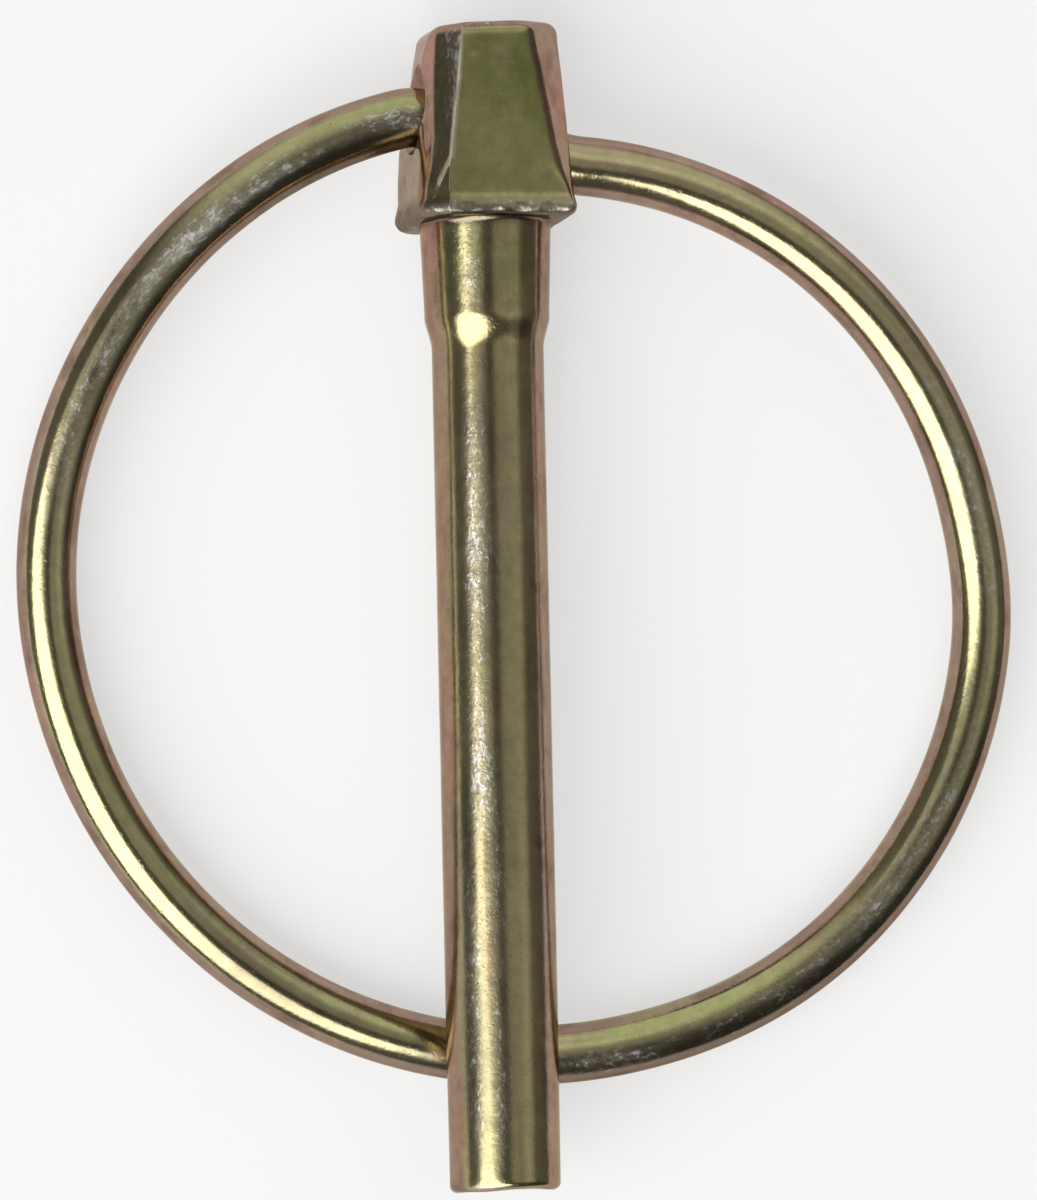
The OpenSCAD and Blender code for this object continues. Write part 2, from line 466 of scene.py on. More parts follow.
def turned_radius(height):
    """Radius of the shank and neck at a height under the head."""
    lead = smooth((-height - SHANK_LENGTH + LEAD_LENGTH) / LEAD_LENGTH)
    shank = SHANK_RADIUS + (TIP_RADIUS - SHANK_RADIUS) * lead
    down_neck = np.clip(-height / NECK_LENGTH, 0, LONGEST_NECK)
    neck = NECK_RADIUS + (NECK_LOW_RADIUS - NECK_RADIUS) * down_neck
    step = smooth((-height - NECK_LENGTH + SHOULDER_EARLY) / SHOULDER_LENGTH)
    swell = SWELL * bump(height, -NECK_LENGTH + SWELL_EARLY, SWELL_REACH)
    root = ROOT_FLARE * np.clip(height / ROOT_REACH + 1, 0, 1) ** 2
    return neck + (shank - neck) * step + swell + root


print("its neck is", round(2 * turned_radius(-1), 2), "mm thick")

# %% The turned part: tip, shank, shoulder and neck
TIP_EDGE = 0.3
TIP_EDGE_STEPS = 7
TIP_RINGS = (0.15, 0.35, 0.55, 0.7, 0.8)
SHANK_STEP = 0.2
# close under the head the sections stand nearer together
FINE_NECK = 0.5
FINE_STEPS = 9

sections = [round_section(share * TIP_RADIUS, -SHANK_LENGTH) for share in TIP_RINGS]
for edge_angle in np.linspace(0, math.pi / 2, TIP_EDGE_STEPS):
    sections.append(round_section(
        TIP_RADIUS - TIP_EDGE * (1 - math.sin(edge_angle)),
        -SHANK_LENGTH + TIP_EDGE * (1 - math.cos(edge_angle))))
shank = np.arange(-SHANK_LENGTH + TIP_EDGE + SHANK_STEP, -FINE_NECK, SHANK_STEP)
neck = np.linspace(-FINE_NECK, 0, FINE_STEPS)
for height in (*shank, *neck):
    sections.append(round_section(turned_radius(height), height))
print("the turned part has", len(sections), "sections")

# %% The shape of the head
HEAD_HEIGHT = 7.88
# heights over the foot, and there: the left and right sides, the depth of the
# front, and three of the four cuts
HEIGHTS = [0.4, 1.0, 1.4, 2.0, 3.0, 4.0, 5.0, 6.0, 6.6, 7.2]
LEFT = [-3.02, -2.96, -2.9, -2.76, -2.64, -2.6, -2.56, -2.5, -2.46, -2.41]
RIGHT = [3.08, 3.11, 3.12, 3.12, 3.1, 3.07, 3.02, 2.96, 2.91, 2.87]
DEPTH = [3.0, 2.98, 2.97, 2.95, 2.92, 2.89, 2.86, 2.83, 2.81, 2.77]
RIGHT_CUT = [0.14, 0.25, 0.42, 0.69, 0.94, 1.06, 1.18, 1.3, 1.37, 1.45]
LEFT_CUT = [1.0, 0.93, 0.85, 0.78, 0.76, 0.85, 0.95, 1.0, 1.02, 1.02]
BACK_LEFT_CUT = [0.4, 0.4, 0.4, 0.4, 0.5, 0.65, 0.9, 1.15, 1.3, 1.45]
BACK_RIGHT_CUT = 0.85
CORNER_RADII = (0.55, 1.1, 0.1, 0.65, 0.35, 0.5, 0.5, 0.5)
# over how much height each side is eased, so that no kink shows
EASE_HALF = 0.3
EASE_STEPS = 7
# how much of a rounding at the top comes off the cuts and off the corner radii
CUT_SHRINK = 0.4
RADIUS_SHRINK = 0.5
SMALLEST = 0.1


def body_at(height):
    """The head's left, right, depth and three of its cuts at a height, eased."""
    near = height + np.linspace(-EASE_HALF, EASE_HALF, EASE_STEPS)
    return [float(np.interp(near, HEIGHTS, row).mean())
            for row in (LEFT, RIGHT, DEPTH, RIGHT_CUT, LEFT_CUT, BACK_LEFT_CUT)]


def head_section(height, out=0.0, shrink=0.0, lift=None):
    """A section of the head, standing out or shrunk by so many mm."""
    left, right, depth, right_cut, left_cut, back_cut = body_at(max(height, HEIGHTS[0]))
    cuts = np.array([right_cut, left_cut, back_cut, BACK_RIGHT_CUT]) - CUT_SHRINK * shrink
    grow = out - shrink
    radii = [max(radius - RADIUS_SHRINK * shrink, SMALLEST) for radius in CORNER_RADII]
    outline = eight_sided(left - grow, right + grow, depth + grow,
                          np.maximum(cuts, SMALLEST), radii)
    return at_height(outline, height if lift is None else lift)


print("half way up, it is", round(body_at(4)[1] - body_at(4)[0], 2), "mm wide")

# %% The head, from its underside to its top
UNDERSIDE_OUT = -0.32
UNDERSIDE_STEPS = 7
LIP_STEP = 0.06
LIP_SECTIONS = 15
# the lip round the foot: heights, and how far it stands out of the body there
LIP_HEIGHTS = [0.0, 0.05, 0.13, 0.24, 0.36, 0.48, 0.6, 0.74, 0.88]
LIP_OUT = [-0.17, -0.06, 0.02, 0.06, 0.075, 0.07, 0.05, 0.02, 0.0]
BODY_FROM = 0.9
BODY_STEP = 0.13
TOP_EDGE = 0.58
TOP_EDGE_STEPS = 10
TOP_RINGS = (0.85, 0.65, 0.4, 0.2)

root = sections[-1]
underside = head_section(0.0, UNDERSIDE_OUT)
for share in np.linspace(0, 1, UNDERSIDE_STEPS)[1:]:
    sections.append(root + (underside - root) * share)
for height in LIP_STEP * np.arange(LIP_SECTIONS):
    sections.append(head_section(height, float(np.interp(height, LIP_HEIGHTS, LIP_OUT))))
top_of_body = HEAD_HEIGHT - TOP_EDGE
for height in np.arange(BODY_FROM, top_of_body, BODY_STEP):
    sections.append(head_section(height))
for edge_angle in np.linspace(0, math.pi / 2, TOP_EDGE_STEPS + 1)[1:]:
    sections.append(head_section(top_of_body, 0.0, TOP_EDGE * (1 - math.cos(edge_angle)),
                                 top_of_body + TOP_EDGE * math.sin(edge_angle)))
rim = sections[-1]
centre = rim.mean(0)
for share in TOP_RINGS:
    sections.append(centre + (rim - centre) * share)
print("the whole pin has", len(sections), "sections")

# %% [markdown]
# ## Forging marks
# A forging is never quite flat. The faces are a little uneven, the lip round the
# foot is squeezed out by the die and hangs lower at the back, a thin burr stands
# along the left front edge, and the sheared tip is slightly oblique and hollow.
# They change the outline, so they are moved into the mesh and not left to the
# shading. Each is worked out on the upright pin, where it is easy to place.

# %% Helpers that read and keep the points of a mesh
def grain(points, scale, salt=0.0):
    """Smooth noise at each point, about -1 to 1, where scale is waves per mm."""
    return np.array([noise.noise(Vector(p) * scale + Vector((salt, -salt, 2 * salt)))
                     for p in points])


def table_of(items, what, width=3):
    """What Blender holds for each item, read into one long row."""
    table = np.zeros(len(items) * width, np.float32)
    items.foreach_get(what, table)
    return table


def vertex_arrays(made):
    """The points and the normals of a mesh, as two tables."""
    rows = (table_of(made.data.vertices, "co"), table_of(made.data.vertex_normals, "vector"))
    return [row.reshape(-1, 3).astype(float) for row in rows]


def remember(made, name, values):
    """Keep one number, or one place, at each point of a mesh."""
    table = np.asarray(values, np.float32)
    kind, what = ("FLOAT", "value") if table.ndim == 1 else ("FLOAT_VECTOR", "vector")
    made.data.attributes.new(name, kind, "POINT").data.foreach_set(what, table.ravel())


def recall(made, name, what="value"):
    """Read back what was kept at each point, in one long row."""
    return table_of(made.data.attributes[name].data, what, 3 if what == "vector" else 1)


def face_outward(made):
    """Turn every face of a closed mesh to the outside."""
    work = bmesh.new()
    work.from_mesh(made.data)
    bmesh.ops.recalc_face_normals(work, faces=work.faces)
    work.to_mesh(made.data)
    work.free()
    made.data.update()


# %% The faint unevenness of the faces, and the wavy lip
# waves per mm, depth in mm and a salt that keeps one noise from another
HEAD_WAVES = [(0.5, 0.016, 0.0), (1.9, 0.004, 3.0)]
SHANK_WAVES = [(0.45, 0.006, 5.0), (1.6, 0.0025, 8.0)]
LIP_WAVES = [(1.0, 0.05, 11.0), (2.6, 0.03, 12.0)]
# the height of the lip's middle, and how far its waves and its wear reach
LIP_WAVE_BAND = (0.3, 0.5)
LIP_WEAR_BAND = (0.25, 0.45)


def waves(points, table):
    """The sum of several noises, in mm."""
    return sum(depth * grain(points, scale, salt) for scale, depth, salt in table)


pin_piece = skin("pin_forging", sections)
face_outward(pin_piece)
points, normals = vertex_arrays(pin_piece)
height = points[:, 1]
in_head = smooth(height, -0.05, 0.4)
push = in_head * waves(points, HEAD_WAVES)
push += (1 - in_head) * waves(points, SHANK_WAVES)
push += bump(height, *LIP_WAVE_BAND) * waves(points, LIP_WAVES)
lip_spread = bump(height, *LIP_WEAR_BAND)
print("the faces are uneven by up to", round(float(np.abs(push).max()), 3), "mm")

# %% The burr along the left edge of the front
BURR_HEIGHT = 0.04
BURR_REACH = 0.085
BURR_BESIDE = 0.02
# below this height the burr leaves the edge and crosses the cut
BURR_TURN = 2.35
BURR_TURN_LENGTH = 1.25
BURR_CROSS = 0.46
BURR_FROM = 0.9
BURR_TO = 7.2

front_edge = np.interp(height, HEIGHTS, LEFT) + np.interp(height, HEIGHTS, LEFT_CUT)
crossing = np.clip((BURR_TURN - height) / BURR_TURN_LENGTH, 0, 1.1)
burr_line = front_edge + BURR_BESIDE - BURR_CROSS * crossing
beside_burr = np.abs(points[:, 0] - burr_line)
burr = smooth(1 - beside_burr / BURR_REACH) * (points[:, 2] > 1.0)
burr *= smooth(height, BURR_FROM, 0.5) * (1 - smooth(height, BURR_TO, 0.4))
burr *= 0.8 + 0.35 * grain(points, 1.1, 20.0)
push += BURR_HEIGHT * burr
points = points + normals * push[:, None]
print("the burr stands", round(float(BURR_HEIGHT * burr.max()), 3), "mm proud")

# %% The bulging left side, the hanging underside and the sloping top
# how far the left side bulges, just behind its front edge and at its back edge
BULGE_HEIGHTS = [0.6, 1.0, 2.0, 3.0, 4.0, 5.0, 6.0, 6.6, 7.4]
FRONT_BULGE = [0.0, 0.06, 0.18, 0.28, 0.3, 0.28, 0.25, 0.2, 0.05]
BACK_BULGE = [0.08, 0.09, 0.27, 0.36, 0.25, 0.12, 0.03, 0.02, 0.0]
BULGE_STARTS = 0.6
BULGE_DEPTH = 3.6
# the underside hangs lower by so much for each mm towards the back
HANG_SLOPE = 0.035
HANG_HEIGHT = 0.7
TOP_SLOPE = 0.045
TOP_SLOPE_MIDDLE = 0.6

front_end = np.interp(height, HEIGHTS, DEPTH) - np.interp(height, HEIGHTS, LEFT_CUT)
behind = front_end - points[:, 2]
backward = np.clip((behind - BULGE_STARTS) / BULGE_DEPTH, 0, 1)
bulge = (np.interp(height, BULGE_HEIGHTS, FRONT_BULGE) * (1 - backward)
         + np.interp(height, BULGE_HEIGHTS, BACK_BULGE) * backward)
on_left = smooth(-points[:, 0], 1.9, 0.7)
points[:, 0] -= in_head * bulge * smooth(behind / BULGE_STARTS) * on_left
hang = np.clip(1 - height / HANG_HEIGHT, 0, 1) * smooth(height, -0.1, 0.1)
points[:, 1] -= HANG_SLOPE * hang * (FOOT_HALF - points[:, 2])
near_top = smooth(height, 6.6, 1.2)
points[:, 1] += TOP_SLOPE * near_top * (points[:, 0] - TOP_SLOPE_MIDDLE)
print("the left side bulges by up to", round(float(bulge.max()), 2), "mm")

# %% Nicks and proud spots
# places on the upright pin (right, height, front), and the reach and height of each
# spot: nicks go in, and the small proud spots on the lip stand out
SPOTS = [
    ((-2.9, 2.75, 0.3), 0.2, -0.09),
    ((-2.9, 1.7, -0.9), 0.3, -0.04),
    ((-2.3, 1.25, 2.45), 0.3, -0.06),
    ((-2.5, 0.8, 2.3), 0.25, -0.06),
    ((-1.2, 0.35, 3.05), 0.3, -0.06),
    ((0.7, 0.3, 3.1), 0.25, -0.05),
    ((2.0, 0.35, 3.1), 0.3, -0.06),
    ((2.95, 0.5, 2.6), 0.3, -0.05),
    ((-0.9, 6.6, 2.8), 0.3, -0.02),
    ((0.4, 6.9, -2.8), 0.4, -0.05),
    ((2.95, 1.5, -2.0), 0.3, -0.05),
    ((-2.5, 0.25, 2.55), 0.3, 0.07),
    ((0.15, 0.3, 3.12), 0.35, 0.08),
    ((2.85, 0.25, 3.05), 0.4, 0.08),
    ((-0.9, 0.25, 3.1), 0.25, 0.04),
    ((1.5, 0.35, 3.1), 0.3, 0.03),
]

for place, reach, size in SPOTS:
    near = smooth(1 - np.linalg.norm(points - np.array(place), axis=1) / reach)
    points += normals * (size * near)[:, None]
print("the head has", len(SPOTS), "nicks and proud spots")

# %% The sheared tip
SHEAR_SLANT = math.radians(0.8)
SHEAR_HOLLOW = 0.07
HOLLOW_HALF = 1.7
SHEAR_GRAIN = 0.05

tip_share = smooth((-SHANK_LENGTH + 1.4 - points[:, 1]) / 1.2)
slant = math.tan(SHEAR_SLANT) * (points[:, 0] + SHANK_RADIUS)
hollow = SHEAR_HOLLOW * np.clip(1 - (points[:, 0] / HOLLOW_HALF) ** 2, 0, 1)
torn = SHEAR_GRAIN * grain(points * (1, 0, 1), 0.7, 31.0)
points[:, 1] += tip_share * (slant + hollow + torn)
remember(pin_piece, "burr", burr)
remember(pin_piece, "lip", lip_spread)
pin_piece.data.vertices.foreach_set("co", points.ravel())
pin_piece.data.update()
print("the tip ends at", round(float(points[:, 1].min()), 2), "mm")

# %% [markdown]
# ## The bore through the head
# The wire's ends turn in a slanted hole. It is drilled after forging, so it is cut
# here too, with a turned cutter. The mouths are flared, and the left one has worn
# longer towards the top. Shaping the sections round the hole instead would bend
# every flat near it.

# %% A helper that turns a cutter
CUTTER_AROUND = 64
slant_turn = Matrix.Rotation(-bore_slant, 3, "Z")


def turned_cutter(name, radii, along, centre, stretch=(1, 1, 1)):
    """A solid of revolution about the bore's direction, in the upright pin's mm."""
    angles = np.linspace(0, 2 * math.pi, CUTTER_AROUND, endpoint=False)
    rings = []
    for radius, place in zip(radii, along):
        ring = np.stack([np.full(CUTTER_AROUND, place),
                         radius * np.cos(angles), radius * np.sin(angles)], -1)
        rings.append(ring * np.array(stretch) @ np.array(slant_turn).T + np.array(centre))
    cutter = skin(name, rings)
    face_outward(cutter)
    return cutter


# %% The drill with its flares, and the worn left mouth
BORE_RADIUS = 1.3
FLARE_START = 2.3
FLARE_SLOPE = 0.7
FLARE_SOFTNESS = 0.12
CUTTER_HALF = 4.4
CUTTER_STEPS = 89
WORN_CENTRE = (-3.15, 4.75, -0.1)
WORN_STRETCH = (0.95, 1.55, 1.3)
WORN_STEPS = 33

along = np.linspace(-CUTTER_HALF, CUTTER_HALF, CUTTER_STEPS)
past_start = (np.abs(along) - FLARE_START) / FLARE_SOFTNESS
flare = np.logaddexp(0, past_start) * FLARE_SOFTNESS * FLARE_SLOPE
bore_cutter = turned_cutter("bore_cutter", BORE_RADIUS + flare, along, (0, BORE_HEIGHT, 0))
polar = np.linspace(-math.pi / 2, math.pi / 2, WORN_STEPS)[1:-1]
worn_cutter = turned_cutter("worn_cutter", np.cos(polar), np.sin(polar),
                            WORN_CENTRE, WORN_STRETCH)
print("the drill is", 2 * BORE_RADIUS, "mm across")

# %% Cut the bore
for cutter in (bore_cutter, worn_cutter):
    cut = pin_piece.modifiers.new(cutter.name, "BOOLEAN")
    cut.object = cutter
    cut.operation = "DIFFERENCE"
    cut.solver = "EXACT"
graph = bpy.context.evaluated_depsgraph_get()
cut_mesh = bpy.data.meshes.new_from_object(pin_piece.evaluated_get(graph))
pin_piece.modifiers.clear()
pin_piece.data = cut_mesh
for cutter in (bore_cutter, worn_cutter):
    bpy.data.objects.remove(cutter)
print("the cut pin has", len(pin_piece.data.polygons), "faces")

# %% Lay the pin in place
SHARP_ANGLE = math.radians(38)


def finish_skin(made):
    """Shade a mesh smoothly, and keep its sharp edges sharp."""
    made.data.polygons.foreach_set("use_smooth", [True] * len(made.data.polygons))
    made.data.set_sharp_from_angle(angle=SHARP_ANGLE)
    made.data.update()


points, normals = vertex_arrays(pin_piece)
remember(pin_piece, "upright", points)
pin_piece.data.vertices.foreach_set("co", laid(points).ravel())
finish_skin(pin_piece)
print("edges sharper than", round(math.degrees(SHARP_ANGLE)), "degrees stay sharp")

# %% [markdown]
# ## The ring of spring wire
# The ring is one length of wire. Each end lies in the bore and turns out of it in
# a small crank. Between them, three arcs meet tangentially. The wire is bent by
# hand round a form, so it comes back neither quite round nor quite flat. A curve
# with a bevel would give the same tube, but with sections each point knows where
# it lies on the straight wire, and the finish needs that.

# %% The wire's line in its own plane
WIRE_RADIUS = 1.2
END_GAP = 1.4
END_STEPS = 8
WIRE_STEP = 0.25
FEWEST_STEPS = 8
RING_MIDDLE = (7.0, 16.5)
# centre along and square to the bore, radius, and the two directions of each bend
BENDS = [
    ((-2.444, 2.0), 2.0, 270.0, 239.526),
    ((6.0, 16.35), 18.65, 239.526, 158.0),
    ((7.020, 15.938), 19.75, 158.0, 55.0),
    ((8.052, 17.412), 17.95, 55.0, -102.16),
    ((3.006, -6.0), 6.0, 77.84, 90.0),
]

left_end = np.linspace(-END_GAP / 2, BENDS[0][0][0], END_STEPS + 1)[:-1]
line = [np.stack([left_end, np.zeros(END_STEPS)], -1)]
for centre, radius, start, end in BENDS:
    steps = max(FEWEST_STEPS, int(radius * math.radians(abs(end - start)) / WIRE_STEP))
    angles = np.radians(np.linspace(start, end, steps + 1)[:-1])
    line.append(np.array(centre) + radius * np.stack([np.cos(angles), np.sin(angles)], -1))
right_end = np.linspace(BENDS[-1][0][0], END_GAP / 2, END_STEPS + 1)
line.append(np.stack([right_end, np.zeros(END_STEPS + 1)], -1))
line = np.vstack(line)
length = np.concatenate([[0], np.cumsum(np.linalg.norm(np.diff(line, axis=0), axis=1))])
print("the wire is", round(float(length[-1]), 1), "mm long")

# %% How the wire springs back
LEFT_SPRING = -0.06
RIGHT_SPRING = 0.15
RISE = 0.18

tangent = np.gradient(line, axis=0)
tangent /= np.linalg.norm(tangent, axis=1)[:, None]
outward = np.stack([tangent[:, 1], -tangent[:, 0]], -1)
from_middle = line - np.array(RING_MIDDLE)
outward *= np.sign((from_middle * outward).sum(1) + 1e-9)[len(line) // 2]
spring = LEFT_SPRING * bump(length, 18.0, 15.0)
spring += RIGHT_SPRING * smooth(length, 62.0, 11.0) * (1 - smooth(length, 86.0, 6.0))
line = line + outward * spring[:, None]
rise = RISE * (bump(length, 27.0, 9.0) - bump(length, 14.0, 9.0))
print("the wire leaves its arcs by up to", round(float(np.abs(spring).max()), 2), "mm")

# %% One section of the wire, on the ring and on straightened wire
RING_LEAN = math.radians(5.675)
WIRE_AROUND = 40

bore_way = np.array([math.cos(bore_slant), -math.sin(bore_slant), 0.0])
hang_way = np.array([-math.cos(RING_LEAN) * math.sin(bore_slant),
                     -math.cos(RING_LEAN) * math.cos(bore_slant), -math.sin(RING_LEAN)])
flat_way = np.cross(bore_way, hang_way)
turns = np.linspace(0, 2 * math.pi, WIRE_AROUND, endpoint=False)


def wire_section(index, radius, shift):
    """A round section of the wire, and the same one on straightened wire."""
    place = line[index] + tangent[index] * shift
    middle_3d = np.array([0, BORE_HEIGHT, 0]) + place[0] * bore_way + place[1] * hang_way
    middle_3d = middle_3d + rise[index] * flat_way
    out_3d = outward[index][0] * bore_way + outward[index][1] * hang_way
    ring_points = middle_3d + radius * (
        np.outer(np.cos(turns), out_3d) + np.outer(np.sin(turns), flat_way))
    straight = np.stack([radius * np.cos(turns),
                         np.full(WIRE_AROUND, length[index] + shift),
                         radius * np.sin(turns)], -1)
    return ring_points, straight


print("the ring leans", round(math.degrees(RING_LEAN), 2), "degrees off the shank")

# %% Carry the round section along the wire
# how the cut ends are rounded: steps along the wire, and the share of its radius
END_ROUND = [(0.0, 0.3), (0.0, 0.6), (0.0, 0.85), (0.04, 0.95), (0.12, 1.0)]
# waves per mm, depth in mm and salt, as for the pin
WIRE_WAVES = [(0.35, 0.006, 40.0), (1.3, 0.002, 41.0)]

last = len(line) - 1
pairs = [wire_section(0, WIRE_RADIUS * share, shift) for shift, share in END_ROUND]
pairs += [wire_section(i, WIRE_RADIUS, 0) for i in range(1, last)]
pairs += [wire_section(last, WIRE_RADIUS * share, -shift)
          for shift, share in reversed(END_ROUND)]
ring_piece = skin("ring_wire", [pair[0] for pair in pairs])
straight = np.vstack([pair[1] for pair in pairs])
straight = np.vstack([straight, pairs[0][1].mean(0), pairs[-1][1].mean(0)])
face_outward(ring_piece)
points, normals = vertex_arrays(ring_piece)
points += normals * waves(straight, WIRE_WAVES)[:, None]
remember(ring_piece, "upright", straight)
ring_piece.data.vertices.foreach_set("co", laid(points).ravel())
finish_skin(ring_piece)
print("the ring has", len(ring_piece.data.polygons), "faces")

# %% [markdown]
# ## Where the finish is worn, and where shade is painted
# Zinc is a bright grey metal. Passivation leaves a clear film on it, olive on the
# broad sides. The rose on the flanks, where the camera sees the surface edge-on, is
# partly the film's colour and partly a painted sheen and a painted reflection of the
# paper. Where it is rubbed it turns silvery. In other stretches it is dark brown,
# partly dull film and partly painted shade, and on the burr and the tip's edge it is
# gone. All this could be painted by hand. Here each point of the mesh keeps a few
# numbers instead, worked out from where it lies, so the wear and the painted shade
# ride with the piece.

# %% Helpers that say where a point lies
# the broad sides of the lying part face almost straight up; this way is also the way back towards the camera, so
# the flanks are where the camera sees the surface edge-on
BROAD_WAY = np.array(way(-10.8, -0.5))
EDGE_ON = 0.12
EDGE_REACH = 0.3
UP_FROM = 0.55
UP_REACH = 0.3


def flank_share(made, full_below, fade, outermost):
    """0 on the broad sides, 1 on the flanks, and less at their outermost."""
    square = np.abs(vertex_arrays(made)[1] @ BROAD_WAY)
    edge_on = outermost + (1 - outermost) * smooth(square, EDGE_ON, EDGE_REACH)
    return (1 - smooth((square - full_below) / fade)) * edge_on


def facing_up(made):
    """1 where a point faces up squarely, falling to 0 at the flanks."""
    return smooth((vertex_arrays(made)[1] @ BROAD_WAY - UP_FROM) / UP_REACH)


def stretches(along, table):
    """The sum of soft stretches: the middle, the reach and the strength of each."""
    return np.clip(sum(strength * bump(along, centre, reach)
                       for centre, reach, strength in table), 0, 1)


print("the pin faces up at", int((facing_up(pin_piece) > 0.5).sum()), "points")

# %% Where the pin's points lie
# the streak of light down the shank lies left of its front, in shares of the radius
BAND_MIDDLE = -0.26
BAND_REACH = 0.36
BAND_REST = 0.12
# below this height the rubs lie beside the streak and not in it
LOW_FROM = 23.0
LOW_REACH = 3.0

upright = recall(pin_piece, "upright", "vector").reshape(-1, 3)
pin_right, pin_up, pin_front = upright.T
burr = recall(pin_piece, "burr")
lip_spread = recall(pin_piece, "lip")
pin_faces_up = facing_up(pin_piece)
squarely = vertex_arrays(pin_piece)[1] @ np.array(front_way)
across = (0.98 * pin_right + 0.2 * pin_front) / SHANK_RADIUS
low_down = smooth(-pin_up, LOW_FROM, LOW_REACH)
in_streak = bump(across, BAND_MIDDLE, BAND_REACH)
beside = 1.5 * bump(across, BAND_MIDDLE, 0.55) * (1 - bump(across, BAND_MIDDLE, 0.32))
band = np.where(pin_up < 0, BAND_REST + (1 - BAND_REST) * in_streak, 1)
band = (1 - low_down) * band + low_down * np.clip(beside, 0, 1)
front = smooth(squarely, 0.88, 0.08) * smooth(pin_up, 0.25, 0.3)
cut_side = smooth(pin_up, 0.9, 0.5) * bump(squarely, 0.7, 0.2) * (pin_right < 0)
on_head = smooth(pin_up, -1.2, 0.8)
print("the front of the head has", int((front > 0.5).sum()), "points")

# %% The pin's flanks, rubs and bare edges
# silvery rubs down the shank: height, reach and strength
PIN_RUBS = [(-13.0, 4.0, 0.8), (-9.0, 3.0, 0.5), (-22.0, 4.0, 0.7), (-17.5, 5.0, 0.3),
            (-27.5, 6.0, 0.45), (-34.0, 6.0, 0.45), (-2.0, 2.2, 0.35)]
# how square to up a point may face before it leaves the flank, on shank and head
SHANK_FLANK = 0.55
HEAD_FLANK = 0.71
SHANK_FADE = 0.28
HEAD_FADE = 0.13
OUTERMOST = 0.5

full_below = SHANK_FLANK + (HEAD_FLANK - SHANK_FLANK) * on_head
fade = SHANK_FADE + (HEAD_FADE - SHANK_FADE) * on_head
flank = flank_share(pin_piece, full_below, fade, OUTERMOST)
# the flank mask carries the rose: partly the film's colour, partly a painted sheen and a painted reflection of the
# paper seen edge-on from the camera
remember(pin_piece, "flank", flank * (1 - 0.9 * np.clip(burr, 0, 1)))
shank_rub = pin_faces_up * band * stretches(pin_up, PIN_RUBS)
lip_rub = 0.55 * lip_spread * pin_faces_up
cut_rub = cut_side * (0.15 + 0.55 * smooth(pin_right, -2.2, 0.7))
remember(pin_piece, "rub", np.clip(shank_rub + lip_rub + 0.9 * burr + cut_rub, 0, 1))
tip_edge = bump(pin_up, -SHANK_LENGTH + 0.1, 0.28) * pin_faces_up
remember(pin_piece, "bare", np.clip(burr + 0.25 * lip_spread + 0.8 * tip_edge, 0, 1))
print("the rubbed share of the pin is", round(float(recall(pin_piece, "rub").mean()), 3))

# %% The pin's dull places and painted shade, and its pink and green places
# darker brown stretches down the shank, partly dull film and partly painted shade, the one at height 0 painted
# shade under the head: height, reach and strength
PIN_DULL_AND_SHADE = [(-8.5, 5.0, 0.9), (-15.5, 6.0, 0.75), (-3.0, 1.6, 0.5), (-24.0, 7.0, 0.8),
            (-33.5, 8.0, 1.0), (0.0, 0.55, 1.0)]
# pink patches on the flanks: right, height, reach and strength
PIN_BLUSH = [(-2.9, 6.4, 2.2, 1.0), (3.0, 4.6, 2.4, 0.5), (-2.7, -0.8, 2.2, 0.8),
             (2.7, -1.2, 1.8, 0.35), (2.3, -8.5, 3.0, 0.3), (-2.3, -20.0, 3.0, 0.25)]
# a green spot on the front of the head: right, height, front
GREEN_SPOT = (1.0, 5.6, 2.8)

dull_lip = 0.7 * bump(pin_up, 0.4, 0.65) * pin_faces_up
# painted shade in the hollow where the neck meets the underside of the head
painted_root_shade = 0.9 * bump(pin_up, -0.05, 0.42)
dull_lip_end = 0.8 * bump(pin_up, 0.4, 0.7) * smooth(-pin_right, 1.6, 0.5)
shank_dull_and_shade = pin_faces_up * stretches(pin_up, PIN_DULL_AND_SHADE)
shank_dull_and_shade *= bump(across, -0.28 - 0.14 * low_down, 0.8 + 0.15 * low_down)
shank_dull_and_shade *= 1 - 0.55 * bump(across, BAND_MIDDLE, 0.2)
# the left cut is painted darker, partly as its dull film and partly as a painted dark reflection of the room
dull_and_shade = np.clip(0.9 * cut_side + dull_lip + painted_root_shade + dull_lip_end + shank_dull_and_shade, 0, 1)
remember(pin_piece, "dull_and_shade", dull_and_shade * (1 - np.clip(burr, 0, 1)))
blush = sum(strength * bump(np.hypot(pin_right - right, pin_up - up), 0, reach)
            for right, up, reach, strength in PIN_BLUSH)
remember(pin_piece, "blush", np.clip(blush, 0, 1))
green = front * (0.85 + 0.4 * grain(upright, 0.25, 41.0))
green += 0.6 * bump(np.linalg.norm(upright - GREEN_SPOT, axis=1), 0, 2.2)
green += 0.6 * bump(pin_up, -1.6, 2.4)
green += 0.7 * bump(pin_up, -17.7, 3.2) * in_streak
green += 0.3 * bump(pin_up, -20.0, 9.0) * smooth(pin_right, 0.2, 0.8)
remember(pin_piece, "green", np.clip(green, 0, 1))
print("the dull share of the pin is", round(float(recall(pin_piece, "dull_and_shade").mean()), 3))

# %% The ring's flanks and rubs
# silvery rubs along the wire: length from its left end, reach and strength
WIRE_RUBS = [(11.5, 8.0, 1.0), (3.0, 5.0, 0.5), (20.0, 7.0, 0.5), (61.0, 9.0, 0.65),
             (73.0, 12.0, 0.55), (92.0, 8.0, 0.3)]
RING_FLANK = 0.66
RING_FADE = 0.16
RING_OUTERMOST = 0.3

outside = straight[:, 0] / WIRE_RADIUS
wire_at = straight[:, 1]
ring_faces_up = facing_up(ring_piece)
flank = flank_share(ring_piece, RING_FLANK, RING_FADE, RING_OUTERMOST)
